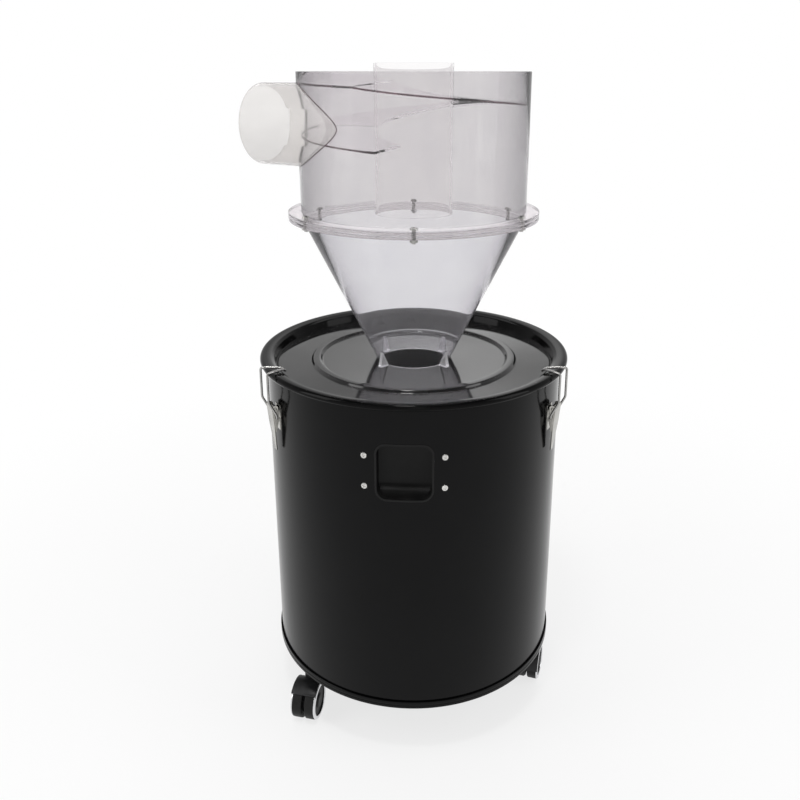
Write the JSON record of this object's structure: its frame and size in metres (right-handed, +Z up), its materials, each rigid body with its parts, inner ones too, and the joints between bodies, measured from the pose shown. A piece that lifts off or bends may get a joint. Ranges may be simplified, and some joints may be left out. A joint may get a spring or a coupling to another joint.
{
  "type": "cyclone dust separator",
  "caption": "Portable cyclone dust separator: clear cone and spin chamber with a side inlet and a top outlet, on a round black steel drum with a clamped lid, latches and castors.",
  "frame": {"origin": "on the drum's axis at floor level", "axes": "+Z up along the drum and the outlet, -Y towards the handle, +X to the right of someone facing the handle"},
  "size_m": [0.4213, 0.417, 0.88],
  "materials": {
    "black_paint": "gloss",
    "black_plastic": "satin",
    "clear_plastic": "clear gloss",
    "bright_steel": "bright zinc",
    "black_rubber": "satin"
  },
  "bodies": {
    "housing": {"drum_wall": "black_paint", "drum_floor": "black_paint", "drum_chime": "black_paint", "lid": "black_paint", "handle_shell": "black_plastic", "handle_screws": "bright_steel", "cone": "clear_plastic", "cone_gussets": "clear_plastic", "lower_flange": "clear_plastic", "upper_flange": "clear_plastic", "flange_bolts": "bright_steel", "flange_nuts": "bright_steel", "cyclone_wall": "clear_plastic", "spiral_roof": "clear_plastic", "roof_end_plate": "clear_plastic", "outlet_tube": "clear_plastic", "inlet_tube": "clear_plastic", "latch_left_base": "bright_steel", "latch_right_base": "bright_steel", "castor_left_stem": "bright_steel", "castor_right_stem": "bright_steel", "castor_back_stem": "bright_steel"},
    "latch_left_lever": {"latch_left_lever": "bright_steel"},
    "latch_left_bail": {"latch_left_bail": "bright_steel"},
    "latch_right_lever": {"latch_right_lever": "bright_steel"},
    "latch_right_bail": {"latch_right_bail": "bright_steel"},
    "castor_left_housing": {"castor_left_housing": "black_plastic"},
    "castor_left_inner_wheel": {"castor_left_inner_wheel": "black_rubber"},
    "castor_left_outer_wheel": {"castor_left_outer_wheel": "black_rubber"},
    "castor_right_housing": {"castor_right_housing": "black_plastic"},
    "castor_right_inner_wheel": {"castor_right_inner_wheel": "black_rubber"},
    "castor_right_outer_wheel": {"castor_right_outer_wheel": "black_rubber"},
    "castor_back_housing": {"castor_back_housing": "black_plastic"},
    "castor_back_inner_wheel": {"castor_back_inner_wheel": "black_rubber"},
    "castor_back_outer_wheel": {"castor_back_outer_wheel": "black_rubber"}
  },
  "joints": [
    {"name": "latch_left_lever_turn", "type": "hinge", "parent": "housing", "child": "latch_left_lever", "pos_m": [-0.18017, -0.09987, 0.462], "axis": [-0.4848, 0.8746, 0], "range_deg": [0, 110]},
    {"name": "latch_left_bail_turn", "type": "hinge", "parent": "latch_left_lever", "child": "latch_left_bail", "pos_m": [-0.17938, -0.09943, 0.449], "axis": [-0.4848, 0.8746, 0], "range_deg": [-88, 0]},
    {"name": "latch_right_lever_turn", "type": "hinge", "parent": "housing", "child": "latch_right_lever", "pos_m": [0.18017, -0.09987, 0.462], "axis": [-0.4848, -0.8746, 0], "range_deg": [0, 110]},
    {"name": "latch_right_bail_turn", "type": "hinge", "parent": "latch_right_lever", "child": "latch_right_bail", "pos_m": [0.17938, -0.09943, 0.449], "axis": [-0.4848, -0.8746, 0], "range_deg": [-88, 0]},
    {"name": "castor_left_swivel", "type": "hinge", "parent": "housing", "child": "castor_left_housing", "pos_m": [-0.14417, -0.10095, 0.06], "axis": [0, 0, 1], "continuous": true},
    {"name": "castor_left_inner_spin", "type": "hinge", "parent": "castor_left_housing", "child": "castor_left_inner_wheel", "pos_m": [-0.14867, -0.12044, 0.0255], "axis": [-0.9744, 0.225, 0], "continuous": true},
    {"name": "castor_left_outer_spin", "type": "hinge", "parent": "castor_left_housing", "child": "castor_left_outer_wheel", "pos_m": [-0.14867, -0.12044, 0.0255], "axis": [-0.9744, 0.225, 0], "continuous": true},
    {"name": "castor_right_swivel", "type": "hinge", "parent": "housing", "child": "castor_right_housing", "pos_m": [0.16641, -0.0573, 0.06], "axis": [0, 0, 1], "continuous": true},
    {"name": "castor_right_inner_spin", "type": "hinge", "parent": "castor_right_housing", "child": "castor_right_inner_wheel", "pos_m": [0.17259, -0.03828, 0.0255], "axis": [0.9511, -0.309, 0], "continuous": true},
    {"name": "castor_right_outer_spin", "type": "hinge", "parent": "castor_right_housing", "child": "castor_right_outer_wheel", "pos_m": [0.17259, -0.03828, 0.0255], "axis": [0.9511, -0.309, 0], "continuous": true},
    {"name": "castor_back_swivel", "type": "hinge", "parent": "housing", "child": "castor_back_housing", "pos_m": [-0.02449, 0.17429, 0.06], "axis": [0, 0, 1], "continuous": true},
    {"name": "castor_back_inner_spin", "type": "hinge", "parent": "castor_back_housing", "child": "castor_back_inner_wheel", "pos_m": [-0.00917, 0.16143, 0.0255], "axis": [-0.6428, -0.766, 0], "continuous": true},
    {"name": "castor_back_outer_spin", "type": "hinge", "parent": "castor_back_housing", "child": "castor_back_outer_wheel", "pos_m": [-0.00917, 0.16143, 0.0255], "axis": [-0.6428, -0.766, 0], "continuous": true}
  ],
  "couplings": [
    {"joint": "latch_left_bail_turn", "follows": "latch_left_lever_turn", "ratio": -0.8},
    {"joint": "latch_right_bail_turn", "follows": "latch_right_lever_turn", "ratio": -0.8}
  ]
}
